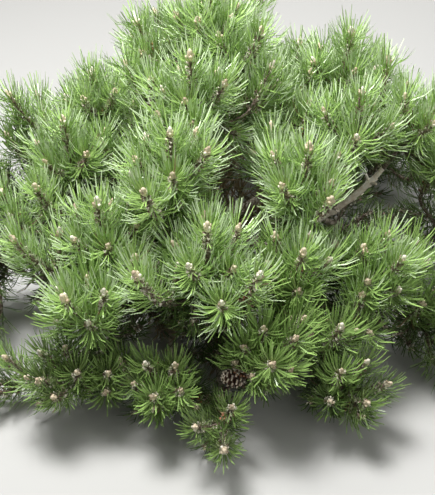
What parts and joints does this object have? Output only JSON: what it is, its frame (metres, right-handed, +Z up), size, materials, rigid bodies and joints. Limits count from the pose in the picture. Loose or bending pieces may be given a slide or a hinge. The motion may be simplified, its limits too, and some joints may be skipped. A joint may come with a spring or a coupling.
{
  "type": "mugo pine",
  "caption": "Low mounded mugo pine shrub: short flared stem, spreading boughs and masses of shoots set with needles, with a few open seed cones.",
  "frame": {"origin": "middle of the flat cut under the stem, at ground level", "axes": "+Z up along the stem, -Y towards the front of the shrub, +X towards its right side seen from the front"},
  "size_m": [1.058, 1.0914, 0.4883],
  "materials": {
    "bark": "rough grey-brown scaly bark",
    "needles": "fresh green needles with a soft gloss"
  },
  "bodies": {
    "root": {"BackFootBough": "bark", "BackFootMass": "needles", "BackLeftBough": "bark", "BackLeftFootBough": "bark", "BackLeftFootMass": "needles", "BackLeftMass": "needles", "BackRightBough": "bark", "BackRightFootBough": "bark", "BackRightFootMass": "needles", "BackRightMass": "needles", "BackUpperBough": "bark", "BackUpperMass": "needles", "FrontBough": "bark", "FrontFootBough": "bark", "FrontFootMass": "needles", "FrontLeftBough": "bark", "FrontLeftMass": "needles", "FrontLowBough": "bark", "FrontLowMass": "needles", "FrontMass": "needles", "FrontRightBough": "bark", "FrontRightMass": "needles", "LeftBackFootBough": "bark", "LeftBackFootMass": "needles", "LeftFootBough": "bark", "LeftFootMass": "needles", "LeftRearBough": "bark", "LeftRearMass": "needles", "LeftShoulderBough": "bark", "LeftShoulderMass": "needles", "LowLeftBough": "bark", "LowLeftMass": "needles", "LowRightBough": "bark", "LowRightMass": "needles", "MidLeftBough": "bark", "MidLeftMass": "needles", "MidRightBough": "bark", "MidRightMass": "needles", "RightBackFootBough": "bark", "RightBackFootMass": "needles", "RightFootBough": "bark", "RightFootMass": "needles", "RightRearBough": "bark", "RightRearMass": "needles", "RightShoulderBough": "bark", "RightShoulderMass": "needles", "Stem": "bark", "TopBackBough": "bark", "TopBackMass": "needles", "TopFrontBough": "bark", "TopFrontMass": "needles", "UpperFrontLeftBough": "bark", "UpperFrontLeftMass": "needles", "UpperFrontRightBough": "bark", "UpperFrontRightMass": "needles", "UpperLeftBough": "bark", "UpperLeftMass": "needles", "UpperRightBough": "bark", "UpperRightMass": "needles"}
  },
  "joints": []
}
